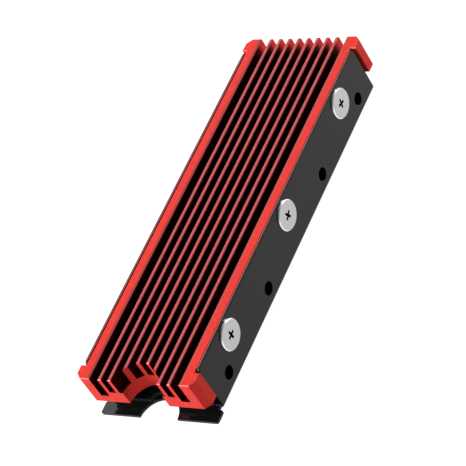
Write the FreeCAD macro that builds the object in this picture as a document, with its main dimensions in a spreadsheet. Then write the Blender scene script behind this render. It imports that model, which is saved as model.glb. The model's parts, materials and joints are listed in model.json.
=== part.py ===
"""Solid state drive in a clamp-on heatsink case.

An M.2 2280 board lies between two thermal pads. Above it is a finned aluminium heatsink, and
below it a bent sheet-metal tray whose two flanges are screwed to the heatsink's rails.

Millimetres. +X is across the drive, +Y runs from the mounting notch to the edge contacts, and
+Z is up through the fins. The origin is on the tray's underside, at the middle of the footprint.
Every sub-part is drawn with its y counted from the case's near end, and its Placement then
moves it back by half of the overall length.
"""
import FreeCAD, Part
import Sketcher
import os

DRIVING_SIZES = [
    # The case as a whole
    ("case_width", 25.3),
    ("case_length", 80.2),
    ("case_height", 10.35),
    # Heatsink
    ("sink_height", 6.45),
    ("rail_outer", 11.55),
    ("rail_inner", 9.55),
    ("rail_bevel_width", 0.45),
    ("near_post_length", 2.85),
    ("far_post_length", 3.0),
    ("post_chamfer", 1.1),
    ("fin_drop", 0.08),
    ("fin_count", 8),
    ("fin_pitch", 2.1),
    ("fin_thickness", 0.7),
    ("channel_depth", 3.64),
    ("side_channel_depth", 4.78),
    ("top_edge_chamfer", 0.1),
    ("notch_radius", 4.2),
    # Tray
    ("sheet_thickness", 0.5),
    ("flange_outer", 12.15),
    ("flange_rise", 0.1),
    ("flange_start", 3.2),
    ("flange_end", 76.8),
    ("flange_corner_radius", 0.8),
    ("flange_edge_radius", 0.15),
    ("bend_radius", 0.6),
    ("lip_half_width", 12.5),
    ("lip_length", 2.3),
    ("lip_reach", 0.3),
    ("lip_notch_radius", 4.05),
    ("lip_corner_radius", 0.4),
    ("side_hole_diameter", 2.55),
    ("side_hole_level", 2.95),
    ("outer_hole_offset", 31.4),
    ("inner_hole_offset", 13.13),
    # Screws
    ("screw_pitch", 26.5),
    ("side_row_middle", 39.84),
    ("screw_level", 7.15),
    ("screw_head_diameter", 5.7),
    ("screw_head_height", 0.4),
    ("screw_head_edge", 0.14),
    ("screw_shank_diameter", 2.0),
    ("screw_shank_length", 2.3),
    ("screw_tip_chamfer", 0.25),
    ("screw_recess_span", 1.85),
    ("screw_recess_width", 0.5),
    ("screw_recess_depth", 0.8),
    ("tapped_hole_clearance", 0.03),
    ("flange_hole_clearance", 0.08),
    # Board
    ("board_width", 22.0),
    ("board_length", 80.0),
    ("board_thickness", 0.8),
    ("board_reach", 2.0),
    ("board_underside", 1.8),
    ("board_screw_radius", 1.75),
    ("tab_width", 19.85),
    ("tab_length", 4.0),
    ("key_width", 1.2),
    ("key_length", 3.5),
    ("key_offset", 6.125),
    ("contact_pitch", 0.5),
    ("contact_width", 0.35),
    ("contact_length", 2.0),
    ("contact_setback", 0.25),
    ("copper_thickness", 0.04),
    ("narrow_contact_count", 5),
    ("wide_contact_count", 28),
    # Packages on the board
    ("package_height", 0.95),
    ("lower_package_height", 0.9),
    ("memory_width", 14.0),
    ("memory_length", 18.0),
    ("first_memory_start", 6.8),
    ("memory_gap", 2.2),
    ("controller_side", 12.0),
    ("controller_start", 61.5),
    ("cache_width", 8.0),
    ("cache_length", 11.0),
    ("cache_start", 48.0),
    ("cache_offset", 5.5),
    ("regulator_side", 3.5),
    ("regulator_start", 48.4),
    ("regulator_offset", 2.6),
    ("crystal_width", 2.0),
    ("crystal_length", 1.6),
    ("crystal_height", 0.5),
    ("coil_width", 2.5),
    ("coil_length", 2.0),
    ("coil_pitch", 3.6),
    ("coil_offset", 8.6),
    ("chip_part_width", 0.5),
    ("chip_part_length", 1.0),
    ("chip_part_height", 0.5),
    ("chip_part_pitch", 1.5),
    # Thermal pads
    ("pad_width", 20.0),
    ("pad_start", 6.0),
    ("pad_end", 74.5),
    ("lower_pad_end", 46.0),
]

# Worked-out places, as expressions over the sheet.
TO_CENTRE = "(-(Sizes.board_reach + Sizes.board_length - Sizes.lip_reach) / 2)"
SINK_UNDERSIDE = "(Sizes.case_height - Sizes.sink_height)"
FLANGE_INNER = "(Sizes.flange_outer - Sizes.sheet_thickness)"
FLANGE_TOP = "(Sizes.case_height + Sizes.flange_rise)"
FIN_TOP = "(Sizes.case_height - Sizes.fin_drop)"
HEAD_FACE = "(Sizes.flange_outer + Sizes.screw_head_height)"
BOARD_TOP = "(Sizes.board_underside + Sizes.board_thickness)"
BOARD_START = "Sizes.board_reach"
BOARD_END = "(Sizes.board_reach + Sizes.board_length)"
PACKAGE_TOP = f"({BOARD_TOP} + Sizes.package_height)"
LOWER_PACKAGE_BOTTOM = "(Sizes.board_underside - Sizes.lower_package_height)"
SECOND_MEMORY_START = "(Sizes.first_memory_start + Sizes.memory_length + Sizes.memory_gap)"

# Each screw's place: its side of the case, its step along the rail, and where its driver
# recess stopped when it was tightened, in degrees about +X.
SCREWS = {
    "screw_right_near": (1, -1, 5.0),
    "screw_right_middle": (1, 0, 24.0),
    "screw_right_far": (1, 1, -13.0),
    "screw_left_near": (-1, -1, 33.0),
    "screw_left_middle": (-1, 0, 8.0),
    "screw_left_far": (-1, 1, -28.0),
}

SKETCH_ORIGIN = (-1, 1)
HORIZONTAL_AXIS = -1
VERTICAL_AXIS = -2
LINE_START = 1
LINE_END = 2
ARC_CENTRE = 3
TOLERANCE = 1e-4

document = FreeCAD.newDocument("solid_state_drive")
sizes = document.addObject("Spreadsheet::Sheet", "Sizes")
for row, (alias, size) in enumerate(DRIVING_SIZES, start=1):
    sizes.set(f"A{row}", alias)
    sizes.set(f"B{row}", str(size))
    sizes.setAlias(f"B{row}", alias)
document.recompute()


def value(expression):
    """The number that an expression over the sheet stands for."""
    return float(sizes.evalExpression(expression))


def new_body(label):
    """An empty body, moved so that its y is counted from the case's near end."""
    body = document.addObject("PartDesign::Body", label)
    body.Label = label
    body.AllowCompound = True
    body.setExpression("Placement.Base.y", TO_CENTRE)
    return body


def origin_plane(body, role):
    """One of the body's own origin planes, by its role."""
    return next(feature for feature in body.Origin.OriginFeatures if feature.Role == role)


def new_sketch(body, name, role, offset="0"):
    """A sketch on an origin plane, moved along that plane's normal by an expression."""
    sketch = body.newObject("Sketcher::SketchObject", f"{body.Name}_{name}")
    sketch.AttachmentSupport = [(origin_plane(body, role), "")]
    sketch.MapMode = "FlatFace"
    sketch.setExpression("AttachmentOffset.Base.z", offset)
    return sketch


def hold_point(sketch, geometry, point, across, along):
    """Holds a point of the sketch's geometry at two signed distances from its origin."""
    places = (("DistanceX", across, VERTICAL_AXIS), ("DistanceY", along, HORIZONTAL_AXIS))
    for direction, expression, axis in places:
        distance = value(expression)
        if abs(distance) < TOLERANCE:
            sketch.addConstraint(Sketcher.Constraint("PointOnObject", geometry, point, axis))
            continue
        constraint = Sketcher.Constraint(direction, *SKETCH_ORIGIN, geometry, point, distance)
        index = sketch.addConstraint(constraint)
        sketch.setExpression(f"Constraints[{index}]", expression)


def draw_outline(sketch, corners):
    """A closed outline of straight lines through corners given as pairs of expressions."""
    points = [FreeCAD.Vector(value(across), value(along), 0) for across, along in corners]
    first = sketch.GeometryCount
    for index, point in enumerate(points):
        following = points[(index + 1) % len(points)]
        sketch.addGeometry(Part.LineSegment(point, following), False)
    for index, (across, along) in enumerate(corners):
        line = first + index
        following = first + (index + 1) % len(corners)
        joint = Sketcher.Constraint("Coincident", line, LINE_END, following, LINE_START)
        sketch.addConstraint(joint)
        hold_point(sketch, line, LINE_START, across, along)


def draw_rectangle(sketch, left, right, near, far):
    """A rectangle between two places across the sketch and two along it."""
    draw_outline(sketch, [(left, near), (right, near), (right, far), (left, far)])


def draw_circle(sketch, across, along, radius):
    """A circle whose centre and radius are expressions."""
    centre = FreeCAD.Vector(value(across), value(along), 0)
    upward = FreeCAD.Vector(0, 0, 1)
    circle = sketch.addGeometry(Part.Circle(centre, upward, value(radius)), False)
    hold_point(sketch, circle, ARC_CENTRE, across, along)
    index = sketch.addConstraint(Sketcher.Constraint("Radius", circle, value(radius)))
    sketch.setExpression(f"Constraints[{index}]", radius)


def extrude(body, kind, sketch, name, length, backwards=False, both_ways=False):
    """A pad or a pocket of a sketch; stops if it leaves the body's volume as it was."""
    before = body.Shape.Volume if body.Tip else 0.0
    feature = body.newObject(f"PartDesign::{kind}", f"{body.Name}_{name}")
    feature.Profile = sketch
    feature.SideType = "Symmetric" if both_ways else "One side"
    feature.Reversed = backwards
    feature.setExpression("Length", length)
    document.recompute()
    if abs(body.Shape.Volume - before) < TOLERANCE:
        raise RuntimeError(f"{feature.Name} changes nothing")
    return feature


def repeat_along(body, feature, sketch, axis, length, count):
    """Repeats a feature along one of its sketch's axes, over a length, a number of times."""
    pattern = body.newObject("PartDesign::LinearPattern", f"{feature.Name}_row")
    pattern.Originals = [feature]
    pattern.Direction = (sketch, [axis])
    pattern.setExpression("Length", length)
    pattern.setExpression("Occurrences", count)
    body.Tip = pattern
    document.recompute()


def mirror_across(body, feature):
    """Repeats a feature on the other side of the case."""
    mirror = body.newObject("PartDesign::Mirrored", f"{feature.Name}_mirror")
    mirror.Originals = [feature]
    mirror.MirrorPlane = (origin_plane(body, "YZ_Plane"), [""])
    body.Tip = mirror
    document.recompute()


def finish_edges(body, kind, name, size_name, size, wanted):
    """A chamfer or a fillet on the body's edges for which wanted(edge) is true."""
    tip = body.Tip
    edges = enumerate(tip.Shape.Edges, start=1)
    names = [f"Edge{number}" for number, edge in edges if wanted(edge)]
    feature = body.newObject(f"PartDesign::{kind}", f"{body.Name}_{name}")
    feature.Base = (tip, names)
    feature.setExpression(size_name, size)
    document.recompute()


def runs_along(edge, axis):
    """Whether an edge is a straight line along an axis, given as 0, 1 or 2."""
    if edge.Curve.TypeId != "Part::GeomLine":
        return False
    start, end = (vertex.Point for vertex in edge.Vertexes)
    return all(abs(end[other] - start[other]) < TOLERANCE for other in range(3) if other != axis)


def near_to(number, expression):
    """Whether a number is where an expression says."""
    return abs(number - value(expression)) < TOLERANCE


def middle_of(edge):
    """The point half-way along a straight edge."""
    return (edge.Vertexes[0].Point + edge.Vertexes[1].Point) * 0.5


def make_heatsink():
    """Extruded aluminium: eight fins between two rails, with a post at each corner."""
    body = new_body("heatsink")
    block = new_sketch(body, "block_outline", "XY_Plane", SINK_UNDERSIDE)
    draw_rectangle(block, "-Sizes.case_width / 2", "Sizes.case_width / 2", "0", "Sizes.case_length")
    extrude(body, "Pad", block, "block", "Sizes.sink_height")

    flank = new_sketch(body, "flank_outline", "XY_Plane", "Sizes.case_height")
    recess_end = "Sizes.case_length - Sizes.far_post_length"
    beyond = "Sizes.case_width / 2 + 1"
    draw_rectangle(flank, "Sizes.rail_outer", beyond, "Sizes.near_post_length", recess_end)
    mirror_across(body, extrude(body, "Pocket", flank, "flank", "Sizes.sink_height"))

    field = new_sketch(body, "field_outline", "XZ_Plane")
    bevel_start = "Sizes.rail_inner + Sizes.rail_bevel_width"
    corners = [
        (f"-({bevel_start})", "Sizes.case_height"),
        ("-Sizes.rail_inner", FIN_TOP),
        ("Sizes.rail_inner", FIN_TOP),
        (bevel_start, "Sizes.case_height"),
    ]
    draw_outline(field, corners)
    extrude(body, "Pocket", field, "field", "Sizes.case_length")

    channel = new_sketch(body, "channel_outline", "XY_Plane", "Sizes.case_height")
    first_fin = "(-Sizes.fin_pitch * (Sizes.fin_count - 1) / 2)"
    left = f"{first_fin} + Sizes.fin_thickness / 2"
    right = f"{first_fin} + Sizes.fin_pitch - Sizes.fin_thickness / 2"
    draw_rectangle(channel, left, right, "0", "Sizes.case_length")
    cut = extrude(body, "Pocket", channel, "channel", "Sizes.channel_depth")
    length = "Sizes.fin_pitch * (Sizes.fin_count - 2)"
    repeat_along(body, cut, channel, "H_Axis", length, "Sizes.fin_count - 1")

    side = new_sketch(body, "side_channel_outline", "XY_Plane", "Sizes.case_height")
    outer_fin_face = f"-{first_fin} + Sizes.fin_thickness / 2"
    draw_rectangle(side, outer_fin_face, "Sizes.rail_inner", "0", "Sizes.case_length")
    mirror_across(body, extrude(body, "Pocket", side, "side_channel", "Sizes.side_channel_depth"))

    notch = new_sketch(body, "notch_outline", "XY_Plane", "Sizes.case_height")
    draw_circle(notch, "0", "0", "Sizes.notch_radius")
    extrude(body, "Pocket", notch, "notch", "Sizes.sink_height")

    tapping = new_sketch(body, "tapping_outline", "YZ_Plane", "Sizes.rail_outer")
    radius = "Sizes.screw_shank_diameter / 2 + Sizes.tapped_hole_clearance"
    for step in (-1, 0, 1):
        along = f"Sizes.side_row_middle + {step} * Sizes.screw_pitch"
        draw_circle(tapping, along, "Sizes.screw_level", radius)
    depth = "Sizes.rail_outer - Sizes.rail_inner"
    mirror_across(body, extrude(body, "Pocket", tapping, "tapping", depth))

    def post_corner(edge):
        middle = middle_of(edge) if runs_along(edge, 2) else None
        if middle is None or not near_to(abs(middle.x), "Sizes.case_width / 2"):
            return False
        return near_to(middle.y, "0") or near_to(middle.y, "Sizes.case_length")

    finish_edges(body, "Chamfer", "post_corners", "Size", "Sizes.post_chamfer", post_corner)

    def level_at(edge, height):
        return all(near_to(vertex.Point.z, height) for vertex in edge.Vertexes)

    def on_rails(edge):
        if not level_at(edge, "Sizes.case_height"):
            return False
        return not (runs_along(edge, 1) and near_to(abs(middle_of(edge).x), bevel_start))

    def on_fins(edge):
        if not level_at(edge, FIN_TOP):
            return False
        return not (runs_along(edge, 1) and near_to(abs(middle_of(edge).x), "Sizes.rail_inner"))

    finish_edges(body, "Chamfer", "rail_edges", "Size", "Sizes.top_edge_chamfer", on_rails)
    finish_edges(body, "Chamfer", "fin_edges", "Size", "Sizes.top_edge_chamfer", on_fins)
    return body


def make_tray():
    """Bent black sheet: a bottom plate, two flanges, and a lip under the near posts."""
    body = new_body("tray")
    section = new_sketch(body, "section", "XZ_Plane", "-Sizes.flange_start")
    corners = [
        ("-Sizes.flange_outer", "0"),
        ("Sizes.flange_outer", "0"),
        ("Sizes.flange_outer", FLANGE_TOP),
        (FLANGE_INNER, FLANGE_TOP),
        (FLANGE_INNER, "Sizes.sheet_thickness"),
        (f"-{FLANGE_INNER}", "Sizes.sheet_thickness"),
        (f"-{FLANGE_INNER}", FLANGE_TOP),
        ("-Sizes.flange_outer", FLANGE_TOP),
    ]
    draw_outline(section, corners)
    length = "Sizes.flange_end - Sizes.flange_start"
    extrude(body, "Pad", section, "channel", length, backwards=True)

    def bend(edge):
        if not runs_along(edge, 1):
            return False
        middle = middle_of(edge)
        outside = near_to(abs(middle.x), "Sizes.flange_outer") and near_to(middle.z, "0")
        inside_height = near_to(middle.z, "Sizes.sheet_thickness")
        return outside or (near_to(abs(middle.x), FLANGE_INNER) and inside_height)

    def outer_bend(edge):
        return bend(edge) and near_to(middle_of(edge).z, "0")

    finish_edges(body, "Fillet", "outer_bends", "Radius", "Sizes.bend_radius", outer_bend)
    inner_radius = "Sizes.bend_radius - Sizes.sheet_thickness"
    finish_edges(body, "Fillet", "inner_bends", "Radius", inner_radius, bend)

    def flange_corner(edge):
        return runs_along(edge, 0) and near_to(middle_of(edge).z, FLANGE_TOP)

    radius = "Sizes.flange_corner_radius"
    finish_edges(body, "Fillet", "flange_corners", "Radius", radius, flange_corner)

    def flange_edge(edge):
        return runs_along(edge, 1) and near_to(middle_of(edge).z, FLANGE_TOP)

    radius = "Sizes.flange_edge_radius"
    finish_edges(body, "Fillet", "flange_edges", "Radius", radius, flange_edge)

    neck = new_sketch(body, "neck_outline", "XY_Plane")
    neck_half = "(Sizes.flange_outer - Sizes.bend_radius)"
    draw_rectangle(neck, f"-{neck_half}", neck_half, "0", "Sizes.flange_start")
    extrude(body, "Pad", neck, "neck", "Sizes.sheet_thickness")
    lip = new_sketch(body, "lip_outline", "XY_Plane")
    half = "Sizes.lip_half_width"
    draw_rectangle(lip, f"-{half}", half, "-Sizes.lip_reach", "Sizes.lip_length")
    extrude(body, "Pad", lip, "lip", "Sizes.sheet_thickness")

    def lip_corner(edge):
        return runs_along(edge, 2) and near_to(abs(middle_of(edge).x), "Sizes.lip_half_width")

    finish_edges(body, "Fillet", "lip_corners", "Radius", "Sizes.lip_corner_radius", lip_corner)

    notch = new_sketch(body, "notch_outline", "XY_Plane")
    draw_circle(notch, "0", "-Sizes.lip_reach", "Sizes.lip_notch_radius")
    extrude(body, "Pocket", notch, "notch", "Sizes.sheet_thickness", backwards=True)

    holes = new_sketch(body, "hole_outline", "YZ_Plane")
    middle = "Sizes.side_row_middle"
    for offset in ("Sizes.outer_hole_offset", "Sizes.inner_hole_offset"):
        for sign in ("-", "+"):
            along = f"{middle} {sign} {offset}"
            draw_circle(holes, along, "Sizes.side_hole_level", "Sizes.side_hole_diameter / 2")
    clearance = "Sizes.screw_shank_diameter / 2 + Sizes.flange_hole_clearance"
    for step in (-1, 0, 1):
        draw_circle(holes, f"{middle} + {step} * Sizes.screw_pitch", "Sizes.screw_level", clearance)
    extrude(body, "Pocket", holes, "holes", "2 * Sizes.case_width", both_ways=True)
    return body


def make_screw(label, side, step, turn):
    """A wafer-head machine screw lying along X, its head outwards on one side of the case."""
    body = new_body(label)
    head = new_sketch(body, "head_outline", "YZ_Plane", "Sizes.flange_outer")
    draw_circle(head, "0", "0", "Sizes.screw_head_diameter / 2")
    extrude(body, "Pad", head, "head", "Sizes.screw_head_height")

    def rim(edge):
        round_edge = edge.Curve.TypeId == "Part::GeomCircle"
        return round_edge and near_to(edge.Curve.Center.x, HEAD_FACE)

    finish_edges(body, "Chamfer", "head_rim", "Size", "Sizes.screw_head_edge", rim)

    shank = new_sketch(body, "shank_outline", "YZ_Plane", "Sizes.flange_outer")
    draw_circle(shank, "0", "0", "Sizes.screw_shank_diameter / 2")
    extrude(body, "Pad", shank, "shank", "Sizes.screw_shank_length", backwards=True)

    def tip(edge):
        round_edge = edge.Curve.TypeId == "Part::GeomCircle"
        tip_place = "Sizes.flange_outer - Sizes.screw_shank_length"
        return round_edge and near_to(edge.Curve.Center.x, tip_place)

    finish_edges(body, "Chamfer", "tip", "Size", "Sizes.screw_tip_chamfer", tip)

    half_span = "Sizes.screw_recess_span / 2"
    half_width = "Sizes.screw_recess_width / 2"
    corners = [
        (half_span, half_width), (half_width, half_width), (half_width, half_span),
        (f"-{half_width}", half_span), (f"-{half_width}", half_width), (f"-{half_span}", half_width),
        (f"-{half_span}", f"-{half_width}"), (f"-{half_width}", f"-{half_width}"),
        (f"-{half_width}", f"-{half_span}"), (half_width, f"-{half_span}"),
        (half_width, f"-{half_width}"), (half_span, f"-{half_width}"),
    ]
    recess = new_sketch(body, "recess_outline", "YZ_Plane", HEAD_FACE)
    draw_outline(recess, corners)
    extrude(body, "Pocket", recess, "recess", "Sizes.screw_recess_depth")

    upward = FreeCAD.Rotation(FreeCAD.Vector(0, 0, 1), 0 if side > 0 else 180)
    turned = FreeCAD.Rotation(FreeCAD.Vector(1, 0, 0), turn)
    body.Placement = FreeCAD.Placement(FreeCAD.Vector(0, 0, 0), upward.multiply(turned))
    along = f"{TO_CENTRE} + Sizes.side_row_middle + {step} * Sizes.screw_pitch"
    body.setExpression("Placement.Base.y", along)
    body.setExpression("Placement.Base.z", "Sizes.screw_level")
    return body


def make_board():
    """The drive's circuit board: a narrower keyed tab at the far end, a half-hole at the near."""
    body = new_body("board")
    outline = new_sketch(body, "outline", "XY_Plane", "Sizes.board_underside")
    half = "Sizes.board_width / 2"
    tab_half = "Sizes.tab_width / 2"
    tab_start = f"{BOARD_END} - Sizes.tab_length"
    corners = [
        (f"-{half}", BOARD_START), (half, BOARD_START), (half, tab_start), (tab_half, tab_start),
        (tab_half, BOARD_END), (f"-{tab_half}", BOARD_END), (f"-{tab_half}", tab_start),
        (f"-{half}", tab_start),
    ]
    draw_outline(outline, corners)
    extrude(body, "Pad", outline, "plate", "Sizes.board_thickness")

    cuts = new_sketch(body, "hole_outline", "XY_Plane", "Sizes.board_underside")
    draw_circle(cuts, "0", BOARD_START, "Sizes.board_screw_radius")
    extrude(body, "Pocket", cuts, "half_hole", "Sizes.board_thickness", backwards=True)

    key = new_sketch(body, "key_outline", "XY_Plane", "Sizes.board_underside")
    left = "-Sizes.key_offset - Sizes.key_width / 2"
    right = "-Sizes.key_offset + Sizes.key_width / 2"
    draw_rectangle(key, left, right, f"{BOARD_END} - Sizes.key_length", f"{BOARD_END} + 1")
    extrude(body, "Pocket", key, "key", "Sizes.board_thickness", backwards=True)
    return body


def make_contacts(label, level):
    """The gold edge contacts on one face of the tab, in a row on each side of the key."""
    body = new_body(label)
    far = f"{BOARD_END} - Sizes.contact_setback"
    near = f"{far} - Sizes.contact_length"
    half = "Sizes.contact_width / 2"
    edge = "Sizes.tab_width / 2 - Sizes.contact_pitch"
    rows = (
        ("narrow", f"-({edge})", "Sizes.narrow_contact_count"),
        ("wide", f"{edge} - Sizes.contact_pitch * (Sizes.wide_contact_count - 1)",
         "Sizes.wide_contact_count"),
    )
    for name, first, count in rows:
        finger = new_sketch(body, f"{name}_outline", "XY_Plane", level)
        draw_rectangle(finger, f"{first} - {half}", f"{first} + {half}", near, far)
        pad = extrude(body, "Pad", finger, f"{name}_contact", "Sizes.copper_thickness")
        length = f"Sizes.contact_pitch * ({count} - 1)"
        repeat_along(body, pad, finger, "H_Axis", length, count)
    return body


def make_block(label, across, start, level, width, length, height):
    """A box: its middle across the drive, near face, underside and three sizes."""
    block = document.addObject("Part::Box", label)
    block.Label = label
    block.setExpression("Length", width)
    block.setExpression("Width", length)
    block.setExpression("Height", height)
    block.setExpression("Placement.Base.x", f"{across} - ({width}) / 2")
    block.setExpression("Placement.Base.y", f"{TO_CENTRE} + {start}")
    block.setExpression("Placement.Base.z", level)
    return block


def make_group(label, pieces):
    """Separate small parts of one kind as one sub-part."""
    group = document.addObject("Part::Compound", label)
    group.Label = label
    group.Links = pieces
    return group


def make_memory():
    """Four flash packages: two on each face of the board, one pair under the other."""
    starts = {"first": "Sizes.first_memory_start", "second": SECOND_MEMORY_START}
    faces = {
        "upper": (BOARD_TOP, "Sizes.package_height"),
        "lower": (LOWER_PACKAGE_BOTTOM, "Sizes.lower_package_height"),
    }
    return [
        make_block(f"flash_{face}_{order}", "0", start, level,
                   "Sizes.memory_width", "Sizes.memory_length", height)
        for face, (level, height) in faces.items() for order, start in starts.items()
    ]


def make_main_chips():
    """The controller, its memory cache, the power regulator and the clock crystal."""
    side = "Sizes.controller_side"
    crystal_start = "Sizes.controller_start + Sizes.controller_side / 2"
    crystal_offset = "Sizes.controller_side / 2 + Sizes.crystal_width"
    return [
        make_block("controller", "0", "Sizes.controller_start", BOARD_TOP, side, side,
                   "Sizes.package_height"),
        make_block("memory_cache", "-Sizes.cache_offset", "Sizes.cache_start", BOARD_TOP,
                   "Sizes.cache_width", "Sizes.cache_length", "Sizes.package_height"),
        make_block("power_regulator", "Sizes.regulator_offset", "Sizes.regulator_start", BOARD_TOP,
                   "Sizes.regulator_side", "Sizes.regulator_side", "Sizes.package_height"),
        make_block("clock_crystal", crystal_offset, crystal_start, BOARD_TOP,
                   "Sizes.crystal_width", "Sizes.crystal_length", "Sizes.crystal_height"),
    ]


def make_coils():
    """Three power coils in a row beside the regulator."""
    coils = [
        make_block(f"coil_{step}", "Sizes.coil_offset",
                   f"Sizes.regulator_start + {step} * Sizes.coil_pitch", BOARD_TOP,
                   "Sizes.coil_width", "Sizes.coil_length", "Sizes.package_height")
        for step in range(3)
    ]
    return make_group("power_coils", coils)


def make_chip_part_row(label, count, across, start):
    """A row of chip capacitors or resistors along the drive."""
    parts = [
        make_block(f"{label}_{step}", across, f"{start} + {step} * Sizes.chip_part_pitch", BOARD_TOP,
                   "Sizes.chip_part_width", "Sizes.chip_part_length", "Sizes.chip_part_height")
        for step in range(count)
    ]
    return make_group(label, parts)


def make_pads():
    """Two soft thermal pads: packages to heatsink above, packages to tray below."""
    upper_height = f"{SINK_UNDERSIDE} - {PACKAGE_TOP}"
    lower_height = f"{LOWER_PACKAGE_BOTTOM} - Sizes.sheet_thickness"
    return [
        make_block("thermal_pad_upper", "0", "Sizes.pad_start", PACKAGE_TOP, "Sizes.pad_width",
                   "Sizes.pad_end - Sizes.pad_start", upper_height),
        make_block("thermal_pad_lower", "0", "Sizes.pad_start", "Sizes.sheet_thickness",
                   "Sizes.pad_width", "Sizes.lower_pad_end - Sizes.pad_start", lower_height),
    ]


def check_and_write(sub_parts):
    """Stops on any failed object or bad shape, then writes one file for each sub-part."""
    document.recompute()
    for item in document.Objects:
        if "Invalid" in item.State or "Error" in item.State:
            raise RuntimeError(f"{item.Name} failed: {item.State}")
    for item in sub_parts:
        if item.Shape.isNull() or not item.Shape.isValid():
            raise RuntimeError(f"{item.Label} has a bad shape")
    os.makedirs("parts", exist_ok=True)
    for item in sub_parts:
        item.Shape.exportStep(f"parts/{item.Label}.step")


lower_copper = "Sizes.board_underside - Sizes.copper_thickness"
regulator_end = "Sizes.regulator_start + Sizes.regulator_side + 1"
sub_parts = [make_heatsink(), make_tray()]
sub_parts += [make_screw(label, *place) for label, place in SCREWS.items()]
sub_parts += [make_board()]
sub_parts += [make_contacts("contacts_upper", BOARD_TOP), make_contacts("contacts_lower", lower_copper)]
sub_parts += make_memory()
sub_parts += make_main_chips()
sub_parts += [
    make_coils(),
    make_chip_part_row("capacitors", 5, "Sizes.regulator_offset", regulator_end),
    make_chip_part_row("resistors", 8, "-Sizes.controller_side / 2 - 1.5", "Sizes.controller_start"),
]
sub_parts += make_pads()
check_and_write(sub_parts)
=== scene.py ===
"""Studio scene of a solid state drive in a clamp-on heatsink case.

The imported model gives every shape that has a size. This script adds the materials, the floor,
the lights and the camera. Metres, in the row's own frame.
"""
import json
import math

import bpy
from mathutils import Euler, Matrix, Vector


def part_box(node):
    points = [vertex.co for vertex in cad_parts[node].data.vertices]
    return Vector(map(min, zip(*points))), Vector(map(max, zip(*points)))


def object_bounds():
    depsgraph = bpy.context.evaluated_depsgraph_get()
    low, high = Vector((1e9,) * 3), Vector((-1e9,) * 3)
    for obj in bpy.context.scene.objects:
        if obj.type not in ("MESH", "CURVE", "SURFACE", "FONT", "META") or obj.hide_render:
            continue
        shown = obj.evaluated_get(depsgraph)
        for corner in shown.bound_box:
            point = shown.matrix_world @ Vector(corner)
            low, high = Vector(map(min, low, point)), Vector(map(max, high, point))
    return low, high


MM = 0.001

# A margin that keeps the border of a zone off the surfaces beside it.
MARGIN = 0.01 * MM

# The heatsink: distances across from its middle, along from its ends and down from its top, and the
# width and depth of the painted highlight along its edges.
RAIL_INNER = 9.55 * MM
BEVEL_END = 10.0 * MM
RAIL_OUTER = 11.55 * MM
POST_LENGTH = 3.0 * MM
FIN_DROP = 0.08 * MM
TOP_EDGE = 0.1 * MM
EDGE_HIGHLIGHT_WIDTH = 0.17 * MM
EDGE_HIGHLIGHT_DEPTH = 0.105 * MM
NOTCH_REACH = 4.25 * MM
# Painted light near the channels' far end: full within the first distance, fading over the second.
CHANNEL_END = 1.0 * MM
CHANNEL_END_FADE = 1.6 * MM

# How much of a normal points along the heatsink on an end face, and up on a level face.
END_FACING = 0.5
LEVEL_FACING = 0.95

# The tray's flanges: the depth of the top edge and of the dull rim under it, how rough that rim is,
# and how far from the middle the painted pink highlight on the top edge reaches.
FLANGE_BRINK = 0.04 * MM
FLANGE_RIM = 0.35 * MM
RIM_ROUGHNESS = 0.5
PINK_HIGHLIGHT_REACH = 11.84 * MM

# The screw heads: the width of the rim's painted highlight, and the radius and least depth of the
# recess's painted shade.
HEAD_RIM = 0.15 * MM
RECESS_REACH = 1.1 * MM
RECESS_DEPTH = 0.02 * MM

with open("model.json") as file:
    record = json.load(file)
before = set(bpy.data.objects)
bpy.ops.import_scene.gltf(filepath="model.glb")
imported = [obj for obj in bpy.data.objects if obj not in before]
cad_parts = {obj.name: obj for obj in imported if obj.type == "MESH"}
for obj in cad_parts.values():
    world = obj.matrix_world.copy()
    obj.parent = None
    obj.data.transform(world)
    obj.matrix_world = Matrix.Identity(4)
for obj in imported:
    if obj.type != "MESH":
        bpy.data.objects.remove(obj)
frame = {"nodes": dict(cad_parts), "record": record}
cad_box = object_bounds()
nodes = frame["nodes"]


# ---------------------------------------------------------------- node graph helpers

def new_material(name):
    """A material with an empty node tree and its output, and its principled shader."""
    material = bpy.data.materials.new(name)
    material.use_nodes = True
    tree = material.node_tree
    tree.nodes.clear()
    output = tree.nodes.new("ShaderNodeOutputMaterial")
    shader = tree.nodes.new("ShaderNodeBsdfPrincipled")
    tree.links.new(shader.outputs["BSDF"], output.inputs["Surface"])
    return material, tree, shader


def add(tree, kind, settings=None, **inputs):
    """A node with its settings, and each input linked to a socket or set to a value.

    An input goes by its name, or by its number after an underscore.
    """
    node = tree.nodes.new(kind)
    for name, setting in (settings or {}).items():
        setattr(node, name, setting)
    for name, given in inputs.items():
        socket = node.inputs[int(name[1:])] if name[0] == "_" else node.inputs[name]
        if isinstance(given, bpy.types.NodeSocket):
            tree.links.new(given, socket)
        else:
            socket.default_value = given
    return node


def maths(tree, operation, first, second=0.0, clamp=False):
    """The result of one arithmetic step."""
    settings = {"operation": operation, "use_clamp": clamp}
    return add(tree, "ShaderNodeMath", settings, _0=first, _1=second).outputs[0]


def less_than(tree, number, limit):
    """1 where a number is under a limit, and 0 elsewhere."""
    return maths(tree, "LESS_THAN", number, limit)


def greater_than(tree, number, limit):
    """1 where a number is over a limit, and 0 elsewhere."""
    return maths(tree, "GREATER_THAN", number, limit)


def product(tree, *factors):
    """Several factors multiplied together."""
    result = factors[0]
    for factor in factors[1:]:
        result = maths(tree, "MULTIPLY", result, factor)
    return result


def length_of(tree, first, second):
    """The length of the vector that has two components."""
    return maths(tree, "SQRT", maths(tree, "ADD", maths(tree, "MULTIPLY", first, first),
                                     maths(tree, "MULTIPLY", second, second)))


def object_point(tree):
    """The shaded point in the object's own coordinates, which are the row's."""
    return add(tree, "ShaderNodeTexCoord").outputs["Object"]


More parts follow.
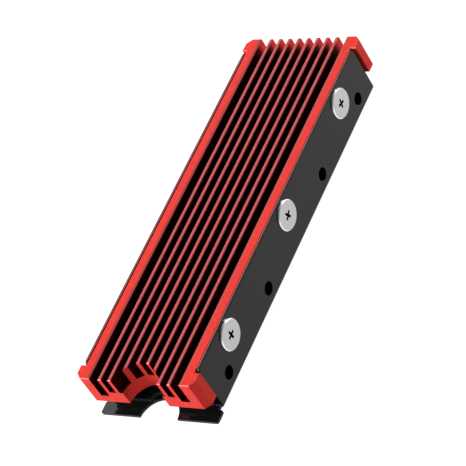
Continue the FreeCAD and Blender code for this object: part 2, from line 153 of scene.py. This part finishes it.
def components(tree, vector):
    """A vector's parts, by the names X, Y and Z."""
    return add(tree, "ShaderNodeSeparateXYZ", Vector=vector).outputs


def stretched(tree, point, scale):
    """The point with each axis scaled, so that a texture runs along one of them."""
    return add(tree, "ShaderNodeMapping", Vector=point, Scale=scale).outputs["Vector"]


def noise(tree, point, scale, detail, roughness=0.5):
    """Noise from 0 to 1 at a number of features to the metre."""
    node = add(tree, "ShaderNodeTexNoise", Vector=point, Scale=scale, Detail=detail,
               Roughness=roughness)
    return node.outputs["Fac"]


def between(tree, number, low, high, start=0.0, end=1.0):
    """A number that runs from start to end, spread from a low value to a high one."""
    node = add(tree, "ShaderNodeMapRange", Value=number)
    node.inputs["From Min"].default_value = start
    node.inputs["From Max"].default_value = end
    node.inputs["To Min"].default_value = low
    node.inputs["To Max"].default_value = high
    return node.outputs["Result"]


def colour_mix(tree, factor, first, second):
    """A blend of two colours by a factor."""
    node = add(tree, "ShaderNodeMix", {"data_type": "RGBA"}, _0=factor, _6=first, _7=second)
    return node.outputs[2]


def bump(tree, height, distance, strength):
    """A surface normal from a height, which is worth distance metres at 1."""
    node = add(tree, "ShaderNodeBump", Height=height, Distance=distance, Strength=strength)
    return node.outputs["Normal"]


def shade(tree, shader, base, roughness, normal):
    """Gives the shader what varies over the surface."""
    tree.links.new(base, shader.inputs["Base Color"])
    tree.links.new(roughness, shader.inputs["Roughness"])
    tree.links.new(normal, shader.inputs["Normal"])


# ---------------------------------------------------------------- materials

def heatsink_zones(tree, point):
    """Factors for the heatsink's painted shade and light: channel walls, their far ends, fin tops,
    rail bevels and edges.
    """
    low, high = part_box("heatsink")
    place = components(tree, point)
    facing = components(tree, add(tree, "ShaderNodeTexCoord").outputs["Normal"])
    height = place["Z"]
    across = maths(tree, "ABSOLUTE", place["X"])
    from_near = maths(tree, "SUBTRACT", place["Y"], low.y)
    from_far = maths(tree, "SUBTRACT", high.y, place["Y"])
    in_field = less_than(tree, across, RAIL_INNER + MARGIN)
    fin_edge = high.z - FIN_DROP - TOP_EDGE
    upright = product(tree, less_than(tree, height, fin_edge - MARGIN),
                      less_than(tree, maths(tree, "ABSOLUTE", facing["Y"]), END_FACING))
    beyond_end = maths(tree, "DIVIDE", maths(tree, "SUBTRACT", from_far, CHANNEL_END),
                       CHANNEL_END_FADE, clamp=True)
    clear_of_notch = greater_than(tree, length_of(tree, across, from_near), NOTCH_REACH)
    # Painted shade: the channel walls below the fin tops, clear of the notch and the far end.
    walls = product(tree, in_field, upright, clear_of_notch, beyond_end)
    # Painted light: the channel walls near the far end, as if lit through the open end.
    ends = product(tree, in_field, upright, maths(tree, "SUBTRACT", 1.0, beyond_end))
    # Painted highlight on the fin tops.
    tops = product(tree, in_field, greater_than(tree, height, fin_edge))
    # Painted shade on the rail bevels.
    bevels = product(tree, greater_than(tree, across, RAIL_INNER),
                     less_than(tree, across, BEVEL_END), greater_than(tree, height, fin_edge))
    # Painted highlight along the top edges: the chamfers, and a strip along each rail's outer edge.
    turned = less_than(tree, facing["Z"], LEVEL_FACING)
    brink = product(tree, greater_than(tree, across, RAIL_OUTER - EDGE_HIGHLIGHT_WIDTH),
                    greater_than(tree, from_near, POST_LENGTH),
                    greater_than(tree, from_far, POST_LENGTH))
    edges = product(tree, greater_than(tree, height, high.z - EDGE_HIGHLIGHT_DEPTH),
                    maths(tree, "MAXIMUM", turned, brink))
    return walls, ends, tops, bevels, edges


def red_anodised():
    """Dyed satin aluminium, with painted shade on the channel walls and painted highlights on tops
    and edges.
    """
    material, tree, shader = new_material("red_anodised_aluminium")
    point = object_point(tree)
    grain = noise(tree, point, scale=9000.0, detail=2.0)
    lines = noise(tree, stretched(tree, point, (6000.0, 120.0, 6000.0)), scale=1.0, detail=3.0)
    cloud = noise(tree, point, scale=160.0, detail=2.0)
    mottle = noise(tree, point, scale=1800.0, detail=3.0, roughness=0.6)
    walls, ends, tops, bevels, edges = heatsink_zones(tree, point)
    dye = maths(tree, "ADD", maths(tree, "MULTIPLY", mottle, 0.6),
                maths(tree, "MULTIPLY", maths(tree, "ADD", cloud, lines), 0.2))
    base = colour_mix(tree, dye, (0.24, 0.0130, 0.0100, 1), (0.54, 0.0345, 0.0265, 1))
    # Painted light: the channel walls near the far end are a brighter red.
    base = colour_mix(tree, ends, base, (0.45, 0.024, 0.018, 1))
    # Painted shade: the channel walls are near-black, as shade falls deep between the fins.
    base = colour_mix(tree, walls, base, (0.035, 0.0012, 0.0012, 1))
    # Painted shade: the rail bevels are a darker, duller red.
    base = colour_mix(tree, bevels, base, (0.24, 0.036, 0.034, 1))
    # Painted highlight: a paler red along the top edges.
    base = colour_mix(tree, edges, base, (0.37, 0.045, 0.038, 1))
    # Painted highlight: the fin tops are a paler, pinker red.
    top_highlight = colour_mix(tree, mottle, (0.20, 0.036, 0.036, 1), (0.34, 0.072, 0.072, 1))
    base = colour_mix(tree, tops, base, top_highlight)
    roughness = between(tree, lines, 0.32, 0.40)
    relief = maths(tree, "ADD", grain, maths(tree, "MULTIPLY", lines, 0.6))
    normal = bump(tree, relief, distance=0.004 * MM, strength=0.6)
    shade(tree, shader, base, roughness, normal)
    shader.inputs["Metallic"].default_value = 0.4
    shader.inputs["Specular IOR Level"].default_value = 0.0
    return material


def black_sheet():
    """Glossy black with a very fine grain, dull by the flanges' top edges, with a painted red
    reflection and pink highlight along them.
    """
    material, tree, shader = new_material("black_coated_sheet")
    point = object_point(tree)
    grain = noise(tree, point, scale=7000.0, detail=3.0)
    cloud = noise(tree, point, scale=90.0, detail=3.0)
    place = components(tree, point)
    height = place["Z"]
    brink = greater_than(tree, height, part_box("tray")[1].z - FLANGE_BRINK)
    rim = greater_than(tree, height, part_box("tray")[1].z - FLANGE_RIM)
    inner_half = less_than(tree, maths(tree, "ABSOLUTE", place["X"]), PINK_HIGHLIGHT_REACH)
    base = colour_mix(tree, cloud, (0.0025, 0.0025, 0.0026, 1), (0.0040, 0.0040, 0.0042, 1))
    # Painted reflection: the flanges' top edge is the dark red the heatsink beside it would
    # reflect.
    base = colour_mix(tree, brink, base, (0.015, 0.002, 0.002, 1))
    # Painted highlight: a pink line on the inner part of the flanges' top edge, beside the rail.
    base = colour_mix(tree, product(tree, brink, inner_half), base, (0.34, 0.060, 0.055, 1))
    polish = between(tree, grain, 0.06, 0.10)
    roughness = maths(tree, "MAXIMUM", polish, maths(tree, "MULTIPLY", rim, RIM_ROUGHNESS))
    normal = bump(tree, grain, distance=0.003 * MM, strength=0.4)
    shade(tree, shader, base, roughness, normal)
    shader.inputs["Specular IOR Level"].default_value = 0.2
    return material


def screw_steel():
    """Plated steel: turning rings about each screw's axis, a painted highlight on the rim and
    painted shade in the recess.
    """
    material, tree, shader = new_material("plated_steel")
    point = object_point(tree)
    low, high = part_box("screw_right_near")
    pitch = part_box("screw_right_middle")[0].y - low.y
    centre = (low + high) / 2
    head_radius = (high.z - low.z) / 2
    place = components(tree, point)
    along = add(tree, "ShaderNodeMath", {"operation": "WRAP"},
                _0=maths(tree, "SUBTRACT", place["Y"], centre.y), _1=pitch / 2, _2=-pitch / 2)
    radius = length_of(tree, along.outputs[0], maths(tree, "SUBTRACT", place["Z"], centre.z))
    depth = maths(tree, "SUBTRACT", high.x, maths(tree, "ABSOLUTE", place["X"]))
    rim = greater_than(tree, radius, head_radius - HEAD_RIM)
    recess = product(tree, less_than(tree, radius, RECESS_REACH),
                     greater_than(tree, depth, RECESS_DEPTH))
    outward_only = add(tree, "ShaderNodeCombineXYZ", X=radius).outputs[0]
    rings = noise(tree, outward_only, scale=14000.0, detail=2.0)
    speckle = noise(tree, point, scale=3500.0, detail=4.0, roughness=0.7)
    base = colour_mix(tree, speckle, (0.33, 0.33, 0.335, 1), (0.61, 0.61, 0.61, 1))
    # Painted highlight: a near-white rim round each screw head.
    base = colour_mix(tree, rim, base, (0.92, 0.92, 0.92, 1))
    # Painted shade: the cross recess is near-black.
    base = colour_mix(tree, recess, base, (0.03, 0.03, 0.03, 1))
    roughness = between(tree, speckle, 0.26, 0.38)
    normal = bump(tree, rings, distance=0.002 * MM, strength=0.5)
    shade(tree, shader, base, roughness, normal)
    shader.inputs["Metallic"].default_value = 1.0
    return material


def board_mask():
    """Glass-epoxy laminate under black solder mask, with the tracks showing as faint relief."""
    material, tree, shader = new_material("black_solder_mask")
    point = object_point(tree)
    brick = add(tree, "ShaderNodeTexBrick", {"offset": 0.5}, Vector=point, Scale=900.0)
    tracks = brick.outputs["Fac"]
    weave = noise(tree, point, scale=2500.0, detail=2.0)
    base = colour_mix(tree, tracks, (0.0020, 0.0022, 0.0025, 1), (0.0040, 0.0048, 0.0045, 1))
    roughness = between(tree, weave, 0.28, 0.42)
    normal = bump(tree, tracks, distance=0.01 * MM, strength=0.4)
    shade(tree, shader, base, roughness, normal)
    shader.inputs["Specular IOR Level"].default_value = 0.05
    return material


def speckled(name, dark, light, roughness, scale, metallic=0.0):
    """A fine-grained finish between two near colours and two near roughnesses."""
    material, tree, shader = new_material(name)
    grain = noise(tree, object_point(tree), scale, detail=4.0)
    base = colour_mix(tree, grain, dark + (1,), light + (1,))
    normal = bump(tree, grain, distance=0.004 * MM, strength=0.5)
    shade(tree, shader, base, between(tree, grain, *roughness), normal)
    shader.inputs["Metallic"].default_value = metallic
    return material


def make_finishes():
    """One finish for each of the record's material slots."""
    return {
        "red_anodised": red_anodised(),
        "black_sheet": black_sheet(),
        "screw_steel": screw_steel(),
        "board_mask": board_mask(),
        "pad_silicone": speckled(
            "thermal_silicone", dark=(0.20, 0.22, 0.25), light=(0.28, 0.30, 0.33),
            roughness=(0.7, 0.85), scale=4000.0),
        "package_epoxy": speckled(
            "moulded_epoxy", dark=(0.010, 0.010, 0.010), light=(0.020, 0.020, 0.021),
            roughness=(0.45, 0.6), scale=8000.0),
        "gold_plate": speckled(
            "gold_plated_copper", dark=(0.78, 0.52, 0.17), light=(0.86, 0.60, 0.24),
            roughness=(0.2, 0.3), scale=5000.0, metallic=1.0),
        "crystal_can": speckled(
            "drawn_steel_can", dark=(0.50, 0.50, 0.51), light=(0.60, 0.60, 0.61),
            roughness=(0.25, 0.35), scale=5000.0, metallic=1.0),
        "coil_ferrite": speckled(
            "pressed_ferrite", dark=(0.06, 0.06, 0.065), light=(0.10, 0.10, 0.105),
            roughness=(0.5, 0.65), scale=6000.0),
        "capacitor_ceramic": speckled(
            "capacitor_ceramic", dark=(0.22, 0.13, 0.07), light=(0.30, 0.19, 0.11),
            roughness=(0.35, 0.5), scale=6000.0),
        "resistor_film": speckled(
            "resistor_film", dark=(0.010, 0.010, 0.011), light=(0.020, 0.020, 0.022),
            roughness=(0.3, 0.45), scale=6000.0),
    }


def dress_nodes(finishes):
    """Puts each CAD node's finish in its material slots."""
    for part in frame["record"]["subparts"]:
        mesh = nodes[part["node"]].data
        finish = finishes[part["material_slot"]]
        if not mesh.materials:
            mesh.materials.append(finish)
        for index in range(len(mesh.materials)):
            mesh.materials[index] = finish


# ---------------------------------------------------------------- studio

# The photo's viewpoint, solved from the edges of the case. Angles are in degrees.
AIM = Vector((0.919, -3.725, 5.125)) * MM
CAMERA_DISTANCE = 417.47 * MM
CAMERA_AZIMUTH = 48.065
CAMERA_ELEVATION = 39.891
CAMERA_ROLL = -33.998
LENS_MM = 180.343
SENSOR_MM = 36.0
CLIP_NEAR = 0.01
CLIP_FAR = 20.0

# The floor's own glow keeps it an even near-white, with only a faint shadow.
FLOOR_SIZE = 6.0
FLOOR_GAP = 0.02 * MM
FLOOR_COLOUR = (0.12, 0.12, 0.12, 1)
FLOOR_ROUGHNESS = 0.9
FLOOR_SPECULAR = 0.1
FLOOR_GLOW = 0.98
WHITE = (1, 1, 1, 1)

# The surround's strength on either side, and how far sideways a direction points to reach it.
SURROUND_LEFT = 1.2
SURROUND_RIGHT = 0.15
SURROUND_REACH = 0.7

# Each softbox's name, azimuth and elevation in degrees, distance and side in metres, and watts.
SOFTBOXES = (
    ("key", -132.0, 39.0, 0.7, 0.5, 1.5),
    ("side", -48.0, 24.0, 0.6, 0.3, 11.0),
    ("rear", 140.0, 8.0, 0.22, 0.06, 0.32),
)


def outward(azimuth, elevation):
    """The direction from the object to a viewer at an azimuth and elevation, in degrees."""
    turn = math.radians(azimuth)
    lift = math.radians(elevation)
    level = math.cos(lift)
    return Vector((math.sin(turn) * level, -math.cos(turn) * level, math.sin(lift)))


def make_camera():
    """A long lens, looking down across the near end and the right flank, and rolled."""
    data = bpy.data.cameras.new("camera")
    data.lens = LENS_MM
    data.sensor_width = SENSOR_MM
    data.clip_start = CLIP_NEAR
    data.clip_end = CLIP_FAR
    camera = bpy.data.objects.new("camera", data)
    bpy.context.scene.collection.objects.link(camera)
    place = AIM + outward(CAMERA_AZIMUTH, CAMERA_ELEVATION) * CAMERA_DISTANCE
    level = Euler((math.radians(90 - CAMERA_ELEVATION), 0, math.radians(CAMERA_AZIMUTH)))
    roll = Matrix.Rotation(math.radians(CAMERA_ROLL), 4, "Z")
    camera.matrix_world = Matrix.Translation(place) @ level.to_matrix().to_4x4() @ roll
    bpy.context.scene.camera = camera


def make_softbox(name, azimuth, elevation, distance, side, power):
    """A square area light that faces the object."""
    data = bpy.data.lights.new(name, "AREA")
    data.shape = "SQUARE"
    data.size = side
    data.energy = power
    light = bpy.data.objects.new(name, data)
    bpy.context.scene.collection.objects.link(light)
    away = outward(azimuth, elevation)
    light.matrix_world = (Matrix.Translation(AIM + away * distance)
                          @ away.to_track_quat("Z", "Y").to_matrix().to_4x4())


def make_world():
    """A white surround, brighter on the drive's left than on its right."""
    world = bpy.data.worlds.new("surround")
    bpy.context.scene.world = world
    world.use_nodes = True
    tree = world.node_tree
    across = components(tree, add(tree, "ShaderNodeTexCoord").outputs["Generated"])["X"]
    strength = between(tree, across, SURROUND_LEFT, SURROUND_RIGHT,
                       start=-SURROUND_REACH, end=SURROUND_REACH)
    background = tree.nodes["Background"]
    tree.links.new(strength, background.inputs["Strength"])
    background.inputs["Color"].default_value = WHITE


def make_floor():
    """A plain pale floor just under the drive."""
    half = FLOOR_SIZE / 2
    mesh = bpy.data.meshes.new("floor")
    corners = [(-half, -half, 0), (half, -half, 0), (half, half, 0), (-half, half, 0)]
    mesh.from_pydata(corners, [], [(0, 1, 2, 3)])
    floor = bpy.data.objects.new("floor", mesh)
    bpy.context.scene.collection.objects.link(floor)
    floor.location.z = cad_box[0][2] - FLOOR_GAP
    material, _, shader = new_material("pale_floor")
    shader.inputs["Base Color"].default_value = FLOOR_COLOUR
    shader.inputs["Roughness"].default_value = FLOOR_ROUGHNESS
    shader.inputs["Specular IOR Level"].default_value = FLOOR_SPECULAR
    shader.inputs["Emission Color"].default_value = WHITE
    shader.inputs["Emission Strength"].default_value = FLOOR_GLOW
    mesh.materials.append(material)


dress_nodes(make_finishes())
make_camera()
make_world()
make_floor()
for softbox in SOFTBOXES:
    make_softbox(*softbox)
bpy.context.scene.view_settings.view_transform = "Standard"
